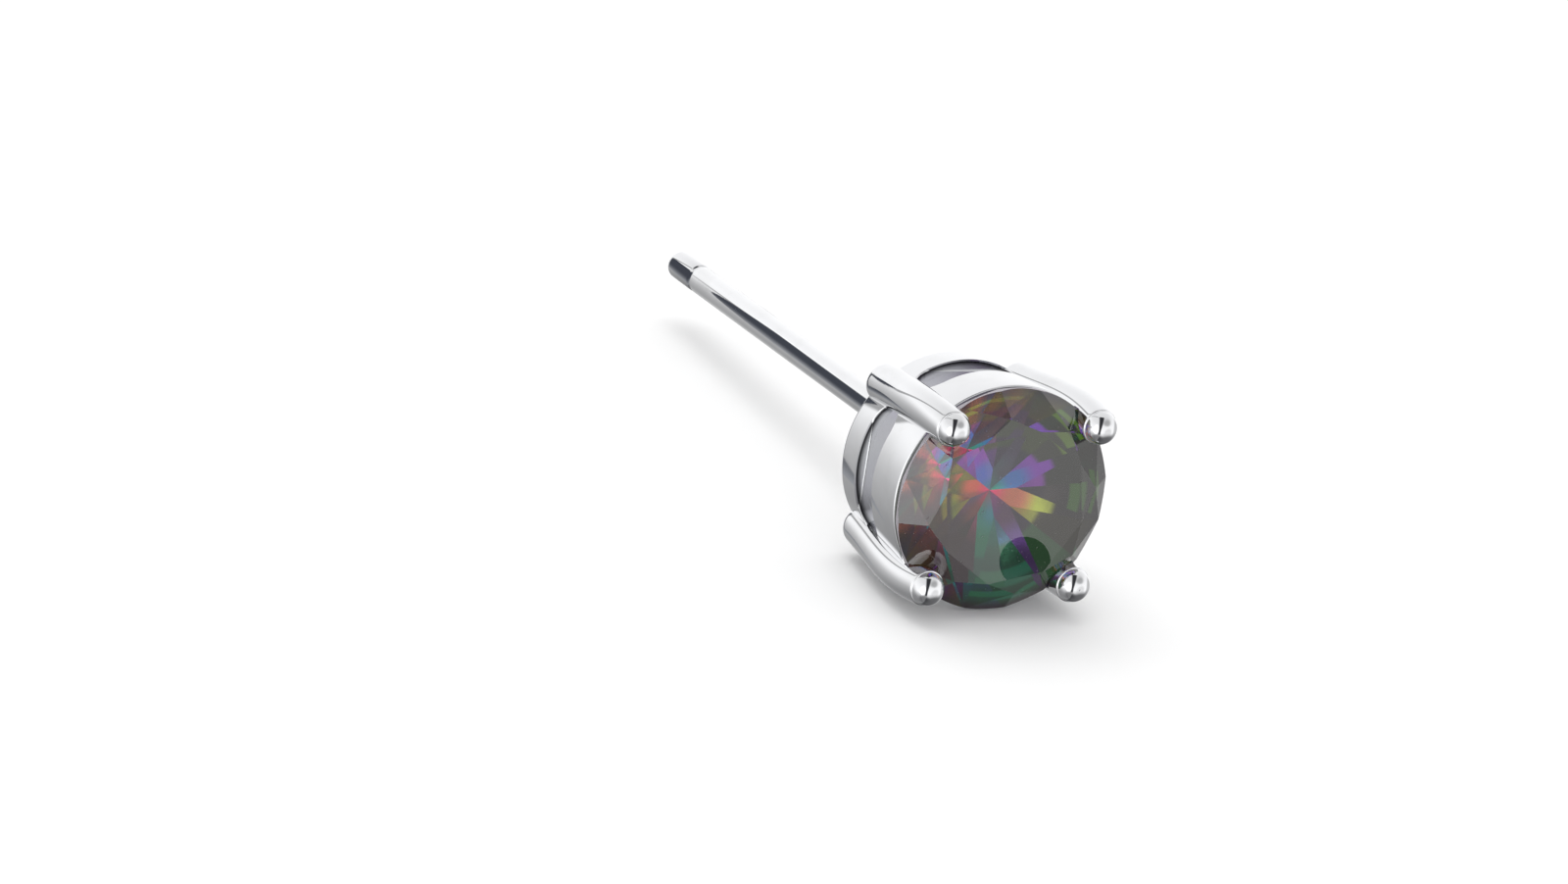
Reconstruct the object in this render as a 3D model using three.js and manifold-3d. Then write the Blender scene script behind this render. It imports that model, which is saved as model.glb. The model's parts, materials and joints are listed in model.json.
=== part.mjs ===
import * as THREE from 'three';
import { mergeVertices } from 'three/addons/utils/BufferGeometryUtils.js';
import { ConvexGeometry } from 'three/addons/geometries/ConvexGeometry.js';
import Module from 'manifold-3d';

// A stud earring: a round brilliant held by four claws in a tapering cup, with a straight ear post.
// Millimetres. The head is drawn upright, table up along +Z and the girdle plane at z = 0. At the end
// it is laid down the way a loose stud lies, on the side of its cup, table to -Y and post to +Y.

// Stone
const stoneDiameter = 5.0;
const tableDiameter = 3.5; // across the corners of the octagonal table
const crownHeight = 0.53;
const girdleThickness = 0.14;
const pavilionDepth = 2.15;
const starReach = 0.45; // share of the way from the table's edge to the girdle
const lowerReach = 0.78; // share of the way from the girdle to the culet
const stoneTurn = -11.25; // degrees, how the stone happens to be turned in its seat
const stoneGap = 0.03; // between stone and metal all round

// Cup: a tapering wall with a closed back
const culetClearance = 0.35; // from the culet down to the cup's floor
const rimDrop = 0.15; // from the girdle plane down to the cup's rim
const rimReach = 0.01; // how far the rim reaches out past the stone
const cupBackDiameter = 4.58;
const wallThickness = 0.26;
const floorThickness = 0.45;
const backChamfer = 0.1;

// Slots between the claws
const slotDrop = 1.37; // from the girdle plane down to the slots' front edge
const slotHeight = 0.87;
const slotWidth = 2.9; // from round end to round end

// Claws
const clawCount = 4;
const clawFootDiameter = 0.88;
const clawTipDiameter = 0.8;
const clawBow = 0.15; // how far a claw's axis bows out from the straight line, foot to tip
const clawBowPeak = 0.63; // share of the way from foot to tip where it bows out most
const clawLap = 0.37; // how far a tip reaches in over the stone's edge
const clawTipRise = 0.56; // from the girdle plane up to the centre of a domed tip
const domeHeight = 0.36;
const domeShoulder = 0.03; // small step from a claw's body to its dome
const footRound = 0.22;

// Post
const postDiameter = 0.65;
const postLength = 12.7; // from the cup's back to the tip
const postTipRound = 0.24;
const postGrooveSetback = 1.23; // from the tip to the groove that an ear back clicks into
const postGrooveWidth = 0.14;
const postGrooveDepth = 0.035;
const solderFillet = 0.12;
const postRootDepth = 0.2; // how far the post is let into the cup's floor

// Fineness of the round forms
const mainCount = 8; // pavilion mains, kites, stars and table corners each
const girdleSides = 64;
const cupSides = 64;
const clawSides = 20;
const clawBends = 12;
const postSides = 24;
const arcSteps = 6; // in a quarter turn
const mergeDistance = 1e-5;

// Weights in g/cm3, for how the stud balances when it lies
const metalDensity = 10.36;
const stoneDensity = 5.8;

const TURN = 2 * Math.PI;
const stoneRadius = stoneDiameter / 2;
const girdleTop = girdleThickness / 2;
const girdleBottom = -girdleThickness / 2;
const tableHeight = girdleTop + crownHeight;
const culetHeight = girdleBottom - pavilionDepth;
const floorHeight = culetHeight - culetClearance;
const backHeight = floorHeight - floorThickness;
const rimRadius = stoneRadius + rimReach;
const backRadius = cupBackDiameter / 2;

const wasm = await Module();
wasm.setup();

// A closed geometry as a solid that can be joined and cut
function solidOf(geometry) {
  const bare = geometry.clone();
  bare.deleteAttribute('normal');
  bare.deleteAttribute('uv');
  const merged = mergeVertices(bare, mergeDistance);
  return new wasm.Manifold(new wasm.Mesh({
    numProp: 3,
    vertProperties: new Float32Array(merged.attributes.position.array),
    triVerts: new Uint32Array(merged.index.array),
  }));
}

function geometryOf(solid) {
  const mesh = solid.getMesh();
  const geometry = new THREE.BufferGeometry();
  geometry.setAttribute('position', new THREE.BufferAttribute(mesh.vertProperties, 3));
  geometry.setIndex(new THREE.BufferAttribute(mesh.triVerts, 1));
  geometry.computeVertexNormals();
  return geometry;
}

// A profile of [radius, height] pairs turned about the Z axis
function turned(profile, sides) {
  const points = profile.map(([radius, height]) => new THREE.Vector2(radius, height));
  return new THREE.LatheGeometry(points, sides).rotateX(Math.PI / 2);
}

function polar(radius, angle, height) {
  return new THREE.Vector3(radius * Math.cos(angle), radius * Math.sin(angle), height);
}

function heightOnPlane(plane, x, y) {
  return -(plane.constant + plane.normal.x * x + plane.normal.y * y) / plane.normal.z;
}

// Height of the girdle's edge where a girdle facet, through two of its corners and the tip of the
// neighbouring facet, cuts the round girdle. Each facet spans half of the angle between two mains.
function girdleEdge(angle, height, tip) {
  const mainAngle = TURN / mainCount;
  const fromMain = Math.abs(angle - mainAngle * Math.round(angle / mainAngle));
  const corner = polar(stoneRadius, 0, height);
  const nextCorner = polar(stoneRadius, mainAngle / 2, height);
  const plane = new THREE.Plane().setFromCoplanarPoints(corner, nextCorner, tip);
  return heightOnPlane(plane, stoneRadius * Math.cos(fromMain), stoneRadius * Math.sin(fromMain));
}

// The round brilliant as the hull of its facet corners. Kites and mains meet the girdle at the angles
// of the table's corners; stars and the tips of the lower girdle facets lie halfway between.
function brilliant() {
  const tableRadius = tableDiameter / 2;
  const half = TURN / mainCount / 2;
  const kiteSlope = crownHeight / (stoneRadius - tableRadius);
  const mainSlope = pavilionDepth / stoneRadius;
  const tableEdge = tableRadius * Math.cos(half);
  const starRadius = tableEdge + starReach * (stoneRadius - tableEdge);
  const starHeight = tableHeight - (starRadius * Math.cos(half) - tableRadius) * kiteSlope;
  const lowerRadius = (1 - lowerReach) * stoneRadius;
  const lowerHeight = culetHeight + lowerRadius * Math.cos(half) * mainSlope;
  const starTip = polar(starRadius, half, starHeight);
  const lowerTip = polar(lowerRadius, half, lowerHeight);

  const corners = [new THREE.Vector3(0, 0, culetHeight)];
  for (let k = 0; k < mainCount; k++) {
    const main = (k * TURN) / mainCount;
    corners.push(polar(tableRadius, main, tableHeight));
    corners.push(polar(starRadius, main + half, starHeight));
    corners.push(polar(lowerRadius, main + half, lowerHeight));
  }
  for (let k = 0; k < girdleSides; k++) {
    const angle = (k * TURN) / girdleSides;
    corners.push(polar(stoneRadius, angle, girdleEdge(angle, girdleTop, starTip)));
    corners.push(polar(stoneRadius, angle, girdleEdge(angle, girdleBottom, lowerTip)));
  }
  return new ConvexGeometry(corners).rotateZ(THREE.MathUtils.degToRad(stoneTurn));
}

// The space that the stone takes with its gap, as a plain round form
function seatSpace() {
  const grown = stoneRadius + stoneGap;
  const culet = girdleBottom - stoneGap - (grown * pavilionDepth) / stoneRadius;
  return turned([
    [0, culet],
    [grown, girdleBottom - stoneGap],
    [grown, girdleTop + stoneGap],
    [tableDiameter / 2 + stoneGap, tableHeight + stoneGap],
    [0, tableHeight + stoneGap],
  ], cupSides);
}

function cupRadius(height) {
  const share = (height - backHeight) / (-rimDrop - backHeight);
  return backRadius + (rimRadius - backRadius) * share;
}

// The cup's wall and closed back in one profile
function cup() {
  return turned([
    [0, backHeight],
    [backRadius - backChamfer, backHeight],
    [cupRadius(backHeight + backChamfer), backHeight + backChamfer],
    [rimRadius, -rimDrop],
    [rimRadius - wallThickness, -rimDrop],
    [cupRadius(floorHeight) - wallThickness, floorHeight + backChamfer],
    [cupRadius(floorHeight) - wallThickness - backChamfer, floorHeight],
    [0, floorHeight],
  ], cupSides);
}

// One slot with round ends, cut straight through the wall
function slot(angle) {
  const end = slotHeight / 2;
  const straight = slotWidth / 2 - end;
  const outline = new THREE.Shape();
  outline.absarc(straight, 0, end, -Math.PI / 2, Math.PI / 2);
  outline.absarc(-straight, 0, end, Math.PI / 2, (3 * Math.PI) / 2);
  const reach = 2 * wallThickness;
  const innerEnd = Math.min(rimRadius, backRadius) * Math.cos(TURN / 8) - reach;
  const depth = Math.max(rimRadius, backRadius) + reach - innerEnd;
  const cutter = new THREE.ExtrudeGeometry(outline, { depth, bevelEnabled: false, curveSegments: 2 * arcSteps });
  const along = polar(1, angle, 0);
  const across = polar(1, angle + TURN / 4, 0);
  const place = new THREE.Matrix4().makeBasis(across, new THREE.Vector3(0, 0, 1), along);
  place.setPosition(along.multiplyScalar(innerEnd).setZ(-slotDrop - end));
  return cutter.applyMatrix4(place);
}

// Distance of a claw's axis from the head's axis: a straight line from foot to tip that bows out
function clawAxis(height) {
  const share = THREE.MathUtils.clamp((height - backHeight) / (clawTipRise - backHeight), 0, 1);
  const tipAxis = stoneRadius + clawTipDiameter / 2 - clawLap;
  const sharpness = Math.log(0.5) / Math.log(clawBowPeak);
  const bow = clawBow * Math.sin(Math.PI * share ** sharpness);
  return THREE.MathUtils.lerp(backRadius, tipAxis, share) + bow;
}

// Radius of a claw's wire, which tapers from the foot to the tip
function clawRadius(height) {
  const foot = backHeight + footRound;
  const share = (height - foot) / (clawTipRise - domeShoulder - foot);
  return THREE.MathUtils.lerp(clawFootDiameter, clawTipDiameter, share) / 2;
}

// A round tapering claw with a rounded foot and a domed tip, bent along its axis
function claw(angle) {
  const footRadius = clawFootDiameter / 2;
  const domeRadius = clawTipDiameter / 2 - domeShoulder;
  const footTop = backHeight + footRound;
  const profile = [[0, backHeight]];
  for (let i = 0; i < arcSteps; i++) {
    const turn = (i / arcSteps) * (TURN / 4);
    const radius = footRadius - footRound * (1 - Math.sin(turn));
    profile.push([radius, footTop - footRound * Math.cos(turn)]);
  }
  for (let i = 0; i < clawBends; i++) {
    const height = THREE.MathUtils.lerp(footTop, clawTipRise - domeShoulder, i / (clawBends - 1));
    profile.push([clawRadius(height), height]);
  }
  for (let i = 0; i <= arcSteps; i++) {
    const rise = (i / arcSteps) * (TURN / 4);
    const radius = i === arcSteps ? 0 : domeRadius * Math.cos(rise);
    profile.push([radius, clawTipRise + domeHeight * Math.sin(rise)]);
  }
  const body = turned(profile, clawSides);
  const position = body.attributes.position;
  for (let i = 0; i < position.count; i++) {
    position.setX(i, position.getX(i) + clawAxis(position.getZ(i)));
  }
  return body.rotateZ(angle);
}

// The post with its rounded end, its fine groove and the solder at its root
function post() {
  const radius = postDiameter / 2;
  const tip = backHeight - postLength;
  const grooveEnd = tip + postGrooveSetback - postGrooveWidth / 2;
  const grooveStart = grooveEnd + postGrooveWidth;
  const profile = [];
  for (let i = 0; i <= arcSteps; i++) {
    const turn = (i / arcSteps) * (TURN / 4);
    profile.push([radius * Math.sin(turn), tip + postTipRound * (1 - Math.cos(turn))]);
  }
  profile.push(
    [radius, grooveEnd],
    [radius - postGrooveDepth, grooveEnd + postGrooveDepth],
    [radius - postGrooveDepth, grooveStart - postGrooveDepth],
    [radius, grooveStart],
    [radius, backHeight - solderFillet],
    [radius + solderFillet, backHeight],
    [radius + solderFillet, backHeight + postRootDepth],
    [0, backHeight + postRootDepth],
  );
  return turned(profile, postSides);
}

// Cup, claws and post joined as one casting, with the slots and the stone's seat cut in it
function setting() {
  let body = solidOf(cup());
  for (let k = 0; k < clawCount; k++) {
    body = body.subtract(solidOf(slot((k * TURN) / clawCount)));
  }
  for (let k = 0; k < clawCount; k++) {
    body = body.add(solidOf(claw(((k + 0.5) * TURN) / clawCount)));
  }
  body = body.add(solidOf(post())).subtract(solidOf(seatSpace()));
  return geometryOf(body);
}

// Volume of a closed geometry, and its centroid weighted by that volume
function moments(geometry) {
  const flat = geometry.index ? geometry.toNonIndexed() : geometry;
  const { array } = flat.attributes.position;
  const centroid = new THREE.Vector3();
  let volume = 0;
  for (let i = 0; i < array.length; i += 9) {
    const [a, b, c] = [0, 3, 6].map((k) => new THREE.Vector3().fromArray(array, i + k));
    const part = a.dot(b.clone().cross(c)) / 6;
    volume += part;
    centroid.addScaledVector(a.add(b).add(c), part / 4);
  }
  return { volume, centroid };
}

// Lowest chain of corners seen from the side, from the post's tip to the table: the hull that the
// stud can rest on
function lowerChain(geometries) {
  const seen = geometries.flatMap((geometry) => {
    const { array } = geometry.attributes.position;
    const corners = [];
    for (let i = 0; i < array.length; i += 3) corners.push([array[i + 2], array[i + 1]]);
    return corners;
  });
  seen.sort((p, q) => p[0] - q[0] || p[1] - q[1]);
  const chain = [];
  const leftTurn = (p, q, r) => (q[0] - p[0]) * (r[1] - p[1]) - (q[1] - p[1]) * (r[0] - p[0]) > 0;
  for (const corner of seen) {
    while (chain.length > 1 && !leftTurn(chain.at(-2), chain.at(-1), corner)) chain.pop();
    chain.push(corner);
  }
  return chain;
}

// Angle that the table end is raised by when the stud lies at rest: the centre of mass stands over
// one edge of the lower chain
function restTilt(parts) {
  let mass = 0;
  const centre = new THREE.Vector3();
  for (const { geometry, density } of parts) {
    const { volume, centroid } = moments(geometry);
    mass += volume * density;
    centre.addScaledVector(centroid, density);
  }
  centre.divideScalar(mass);
  const chain = lowerChain(parts.map((part) => part.geometry));
  for (let i = 1; i < chain.length; i++) {
    const [from, to] = [chain[i - 1], chain[i]];
    const edge = new THREE.Vector2(to[0] - from[0], to[1] - from[1]);
    const foot = new THREE.Vector2(centre.z - from[0], centre.y - from[1]).dot(edge);
    if (foot >= 0 && foot <= edge.lengthSq()) return -Math.atan2(edge.y, edge.x);
  }
  return 0;
}

const settingGeometry = setting();
const stoneGeometry = brilliant();

const settingMesh = new THREE.Mesh(
  settingGeometry,
  new THREE.MeshStandardMaterial({ color: 0xd4d6da, metalness: 1, roughness: 0.08 }),
);
settingMesh.name = 'setting';

const stoneMesh = new THREE.Mesh(
  stoneGeometry,
  new THREE.MeshStandardMaterial({ color: 0x5d5560, metalness: 0, roughness: 0.05 }),
);
stoneMesh.name = 'stone';

// Laid down at rest: centred over the origin, with what it lies on at z = 0
const stud = new THREE.Group();
stud.add(settingMesh, stoneMesh);
const tilt = restTilt([
  { geometry: settingGeometry, density: metalDensity },
  { geometry: stoneGeometry, density: stoneDensity },
]);
stud.rotation.x = TURN / 4 - tilt;
const reach = new THREE.Box3().setFromObject(stud, true);
stud.position.set(-(reach.min.x + reach.max.x) / 2, -(reach.min.y + reach.max.y) / 2, -reach.min.z);

export default stud;
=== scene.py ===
# %% [markdown]
# # A stud earring, dressed for its picture
#
# A loose stud lies on a white table: a round stone in a slotted, tapering metal cup with four wire
# claws, and a straight post behind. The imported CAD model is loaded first. It says where every piece
# goes, so nothing below is placed by eye.

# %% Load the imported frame
import json
import math

import bmesh
import bpy
from mathutils import Matrix, Quaternion, Vector


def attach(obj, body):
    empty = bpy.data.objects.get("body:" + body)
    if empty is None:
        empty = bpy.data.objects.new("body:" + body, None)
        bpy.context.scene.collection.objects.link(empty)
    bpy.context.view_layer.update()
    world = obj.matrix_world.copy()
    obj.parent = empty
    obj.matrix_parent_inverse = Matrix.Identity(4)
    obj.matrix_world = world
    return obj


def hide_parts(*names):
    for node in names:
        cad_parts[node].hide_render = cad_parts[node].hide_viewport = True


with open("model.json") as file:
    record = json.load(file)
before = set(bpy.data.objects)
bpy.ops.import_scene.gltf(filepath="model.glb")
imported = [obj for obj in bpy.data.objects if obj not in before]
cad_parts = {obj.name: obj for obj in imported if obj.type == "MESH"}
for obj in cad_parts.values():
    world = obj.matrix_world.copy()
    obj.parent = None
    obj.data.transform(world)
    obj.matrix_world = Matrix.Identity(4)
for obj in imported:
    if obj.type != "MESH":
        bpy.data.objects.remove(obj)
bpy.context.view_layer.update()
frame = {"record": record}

# %% [markdown]
# ## Where the head stands
#
# The stud lies on the side of its cup, nose down, so its own axis isn't the table's. Drawing the
# head upright and laying it down with one matrix keeps every profile below a plain list of radii
# and heights in millimetres, as a goldsmith would write them. The matrix comes from the mount that
# the CAD model states on the cup's flat back: a point beside the post and the direction of the
# post.

# %% From the upright head in millimetres to the stud as it lies
MM = 0.001
BACK = -3.02  # the cup's flat back, below the girdle plane at zero
MOUNT_ASIDE = 1.3  # the mount's point lies this far from the post's axis

ear_face = next(m for m in frame["record"]["mounts"] if m["name"] == "ear_face")
head_up = -Vector(ear_face["axis"]).normalized()
head_side = Vector((1, 0, 0))
head_rise = head_up.cross(head_side)
head_turn = Matrix((head_side, head_rise, head_up)).transposed()
head_centre = Vector(ear_face["pos_m"]) - MM * (head_turn @ Vector((0, MOUNT_ASIDE, BACK)))
LAY_DOWN = Matrix.Translation(head_centre) @ head_turn.to_4x4() @ Matrix.Scale(MM, 4)
print("girdle centre at", [round(v * 1000, 3) for v in head_centre], "mm")

# %% [markdown]
# ## The camera
#
# The picture is taken with a long lens from the upper left of the table's face, so the round stone
# is seen as an ellipse and the whole post shows. The view was measured in the head's own frame, by
# fitting claw tips, back and post, so it is turned with the same matrix. A long lens from seventeen
# centimetres keeps both ends of the stud nearly the same scale.

# %% Make the camera
CAMERA_TURN = Vector((0.3418, 0.4917, -0.0734))  # rotation vector from the head's frame to the view
CAMERA_SHIFT = Vector((4.624, -1.206, -166.842))  # the head's centre as the camera sees it, mm


def placed(name, data):
    """Adds an object that shows this data to the scene."""
    made = bpy.data.objects.new(name, data)
    bpy.context.scene.collection.objects.link(made)
    return made


view_turn = Quaternion(CAMERA_TURN.normalized(), CAMERA_TURN.length).to_matrix()
camera_place = -(view_turn.transposed() @ CAMERA_SHIFT)
camera_data = bpy.data.cameras.new("camera")
camera_data.lens = 180
camera_data.sensor_width = 36
camera_data.clip_start = 0.01
camera_data.clip_end = 20
camera = placed("camera", camera_data)
camera.matrix_world = (Matrix.Translation(LAY_DOWN @ camera_place)
                       @ (head_turn @ view_turn.transposed()).to_4x4())
bpy.context.scene.camera = camera
print("camera at", [round(v * 1000, 1) for v in camera.matrix_world.translation], "mm")

# %% [markdown]
# ## The setting's round forms
#
# Cup, claws and post are all round, so each is a profile turned about an axis. Many fine sides
# matter here: polished metal mirrors its surroundings, and a coarse polygon would break each
# reflection into steps. One helper turns a profile into a closed skin, and it can shift each ring
# sideways, which bends a straight wire into a claw.

# %% Helpers that make a skin and turn a profile
def skinned(name, corners, faces):
    """Adds a mesh object made of these corners and faces."""
    mesh = bpy.data.meshes.new(name)
    mesh.from_pydata(corners, [], faces)
    return placed(name, mesh)


def turned(name, profile, sides, shift=None):
    """A skin from (radius, height) pairs, closed where they start and end on the axis."""
    verts, faces, rings = [], [], []
    for radius, height in profile:
        away = shift(height) if shift else 0
        if radius == 0:
            rings.append([len(verts)])
            verts.append((away, 0, height))
            continue
        rings.append(range(len(verts), len(verts) + sides))
        for k in range(sides):
            angle = math.tau * k / sides
            verts.append((away + radius * math.cos(angle), radius * math.sin(angle), height))
    for low, high in zip(rings, rings[1:]):
        for k in range(sides):
            n = (k + 1) % sides
            if len(low) == 1:
                faces.append((low[0], high[n], high[k]))
            elif len(high) == 1:
                faces.append((low[k], low[n], high[0]))
            else:
                faces.append((low[k], low[n], high[n], high[k]))
    return skinned(name, verts, faces)


def arc(centre, reach, start, end, steps):
    """Points of an arc about a centre, from one angle to another in degrees, both ends included."""
    return [(centre[0] + reach * math.cos(math.radians(start + (end - start) * i / steps)),
             centre[1] + reach * math.sin(math.radians(start + (end - start) * i / steps)))
            for i in range(steps + 1)]


# %% [markdown]
# ## The cup
#
# The cup tapers a little towards the ear. Its rim runs close under the stone, and its back is
# closed and flat, with a rounded edge where the polishing wheel went over it. The edges are small
# arcs, because only a rounded edge catches the thin bright line that real polished metal shows. The
# head's lengths are in millimetres here, and its heights count from the middle of the stone's
# girdle.

# %% Turn the cup
STONE_RADIUS = 2.5
RIM, RIM_RADIUS = -0.15, 2.51
BACK_RADIUS = 2.29
WALL = 0.26
FLOOR = -2.57  # the closed bottom, seen from inside
RIM_ROUND = 0.035
BACK_ROUND = 0.1
CUP_SIDES = 384
BACK_STEPS, RIM_STEPS, FLOOR_STEPS = 8, 6, 6  # in each rounded edge


def cup_radius(height):
    return BACK_RADIUS + (RIM_RADIUS - BACK_RADIUS) * (height - BACK) / (RIM - BACK)


cup_profile = (
    [(0, BACK)]
    + arc((cup_radius(BACK + BACK_ROUND) - BACK_ROUND, BACK + BACK_ROUND), BACK_ROUND, -90, 0,
          BACK_STEPS)
    + arc((RIM_RADIUS - RIM_ROUND, RIM - RIM_ROUND), RIM_ROUND, 0, 90, RIM_STEPS)
    + arc((RIM_RADIUS - WALL + RIM_ROUND, RIM - RIM_ROUND), RIM_ROUND, 90, 180, RIM_STEPS)
    + arc((cup_radius(FLOOR) - WALL - BACK_ROUND, FLOOR + BACK_ROUND), BACK_ROUND, 0, -90,
          FLOOR_STEPS)
    + [(0, FLOOR)]
)
cup = turned("cup", cup_profile, CUP_SIDES)
print("cup:", len(cup.data.polygons), "faces")

# %% [markdown]
# ## The slots
#
# Four slots between the claws let light reach the stone from the side. They are milled through the
# wall, so the cutter goes straight in. It flares a little where it crosses the outside of the cup,
# and that leaves a softened edge like the one the polishing wheel makes. Its far end is flat and
# well outside, because a cutter that hardly clears a round wall leaves shards of it in the opening.

# %% Cut the slots
SLOT_DROP = 1.37  # from the girdle down to the slot's upper edge
SLOT_HEIGHT = 0.87
SLOT_WIDTH = 2.9
SLOT_ROUND = 0.035
SLOT_STEPS = 32  # around each round end
SLOT_REACH = (1.2, 3.2)  # the cutter starts inside the cup and ends flat, well outside of it
FLARE_ANGLES = (90, 67.5, 45, 22.5, 0)
FAR = 100  # a depth in roundings that SLOT_REACH is sure to cut short
CLAWS = 4


def slot_cutter(angle):
    """A bar with round ends that flares where it leaves the cup's wall."""
    end = SLOT_HEIGHT / 2
    straight = SLOT_WIDTH / 2 - end
    level = -SLOT_DROP - end
    outline = ([(straight + x, y) for x, y in arc((0, 0), 1, -90, 90, SLOT_STEPS)]
               + [(-straight + x, y) for x, y in arc((0, 0), 1, 90, 270, SLOT_STEPS)])
    points = []
    for i, (x, y) in enumerate(outline):
        middle = straight if i <= SLOT_STEPS else -straight
        points.append((middle, x - middle, y))
    flare = [(1 - math.cos(math.radians(a)), 1 - math.sin(math.radians(a))) for a in FLARE_ANGLES]
    layers = [(FAR, 0)] + flare + [(-FAR, 1)]
    verts, faces = [], []
    for depth, grow in layers:
        for middle, x, y in points:
            reach = end + SLOT_ROUND * grow
            across, rise = middle + x * reach, level + y * reach
            skin = math.sqrt(cup_radius(rise) ** 2 - across ** 2)
            out = min(max(skin - SLOT_ROUND * depth, SLOT_REACH[0]), SLOT_REACH[1])
            verts.append((across, out, rise))
    size = len(points)
    for layer in range(len(layers) - 1):
        for i in range(size):
            n = (i + 1) % size
            a, b = layer * size, (layer + 1) * size
            faces.append((a + i, a + n, b + n, b + i))
    faces.append(tuple(range(size - 1, -1, -1)))
    faces.append(tuple(range(len(verts) - size, len(verts))))
    cutter = skinned("slot_cutter", verts, faces)
    cutter.data.transform(Matrix.Rotation(angle - math.pi / 2, 4, "Z"))
    return cutter


def apply_modifiers(piece):
    """Makes what a piece's modifiers show its own mesh."""
    made = bpy.data.meshes.new_from_object(
        piece.evaluated_get(bpy.context.evaluated_depsgraph_get()))
    piece.modifiers.clear()
    piece.data = made


def cut_or_join(body, tool, operation):
    """Applies one boolean to the body and removes the tool."""
    for piece in (body, tool):
        tidy = bmesh.new()
        tidy.from_mesh(piece.data)
        bmesh.ops.recalc_face_normals(tidy, faces=tidy.faces)
        tidy.to_mesh(piece.data)
        tidy.free()
    step = body.modifiers.new("step", "BOOLEAN")
    step.operation = operation
    step.object = tool
    step.solver = "MANIFOLD"
    apply_modifiers(body)
    bpy.data.objects.remove(tool)


for k in range(CLAWS):
    cut_or_join(cup, slot_cutter(math.tau * k / CLAWS), "DIFFERENCE")
print("slotted cup:", len(cup.data.polygons), "faces")

# %% [markdown]
# ## The claws
#
# Each claw is a length of round wire, soldered up the side of the cup, that bows out a little and
# then leans in over the stone. Its tip is filed to a dome with a faint step below it, and its foot
# is rounded off.

# %% Bend the claws and join them to the cup
CLAW_FOOT, CLAW_TIP = 0.88, 0.8  # the wire's thickness at either end
CLAW_BOW = 0.15
BOW_PEAK = 0.63  # where the bow is widest, as a share of the claw's length
CLAW_LAP = 0.37  # how far the tip reaches over the stone
TIP_RISE = 0.56
DOME = 0.36
SHOULDER = 0.03
FOOT_ROUND = 0.22
CLAW_SIDES = 128
CLAW_BENDS = 60
FOOT_STEPS, SHOULDER_STEPS, DOME_STEPS = 10, 4, 20


def claw_axis(height):
    """How far the middle of the wire stands from the head's axis at this height."""
    share = min(max((height - BACK) / (TIP_RISE - BACK), 0), 1)
    tip_axis = STONE_RADIUS + CLAW_TIP / 2 - CLAW_LAP
    bow = CLAW_BOW * math.sin(math.pi * share ** (math.log(0.5) / math.log(BOW_PEAK)))
    return BACK_RADIUS + (tip_axis - BACK_RADIUS) * share + bow


def claw_profile():
    foot, tip = CLAW_FOOT / 2, CLAW_TIP / 2
    start, stop = BACK + FOOT_ROUND, TIP_RISE - SHOULDER
    profile = [(0, BACK)] + arc((foot - FOOT_ROUND, start), FOOT_ROUND, -90, 0, FOOT_STEPS)[:-1]
    for i in range(CLAW_BENDS + 1):
        share = i / CLAW_BENDS
        profile.append((foot + (tip - foot) * share, start + (stop - start) * share))
    profile += arc((tip - SHOULDER, stop), SHOULDER, 0, 90, SHOULDER_STEPS)[1:]
    dome = tip - SHOULDER
    for i in range(1, DOME_STEPS):
        rise = math.pi / 2 * i / DOME_STEPS
        profile.append((dome * math.cos(rise), TIP_RISE + DOME * math.sin(rise)))
    return profile + [(0, TIP_RISE + DOME)]


for k in range(CLAWS):
    claw = turned("claw", claw_profile(), CLAW_SIDES, claw_axis)
    claw.data.transform(Matrix.Rotation(math.tau * (k + 0.5) / CLAWS, 4, "Z"))
    cut_or_join(cup, claw, "UNION")
print("cup and claws:", len(cup.data.polygons), "faces")

# %% [markdown]
# ## The post
#
# The post is straight wire with a rounded end that slides through the ear, and one fine groove
# where the ear back clicks. A small concave collar of solder joins it to the cup. It is turned in
# one profile and joined like the claws.

# %% Turn the post and join it
POST = 0.65
POST_LENGTH = 12.7
POST_ROUND = 0.24
GROOVE_SETBACK = 1.23  # from the post's tip to the middle of the groove
GROOVE_WIDTH, GROOVE_DEPTH = 0.14, 0.035
SOLDER = 0.12
POST_ROOT = 0.2  # how deep the post stands in the cup's bottom
POST_SIDES = 128
TIP_STEPS, GROOVE_STEPS, SOLDER_STEPS = 16, 6, 8

radius = POST / 2
tip = BACK - POST_LENGTH
groove = tip + GROOVE_SETBACK
lip = GROOVE_DEPTH / 2
slope = GROOVE_DEPTH + lip  # the length of either side of the groove
groove_start = groove - GROOVE_WIDTH / 2 - lip
groove_end = groove + GROOVE_WIDTH / 2 - GROOVE_DEPTH


def groove_depth(step):
    """0 at the first step, the full depth at the last, smooth between them."""
    return GROOVE_DEPTH * (0.5 - 0.5 * math.cos(math.pi * step / GROOVE_STEPS))


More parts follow.
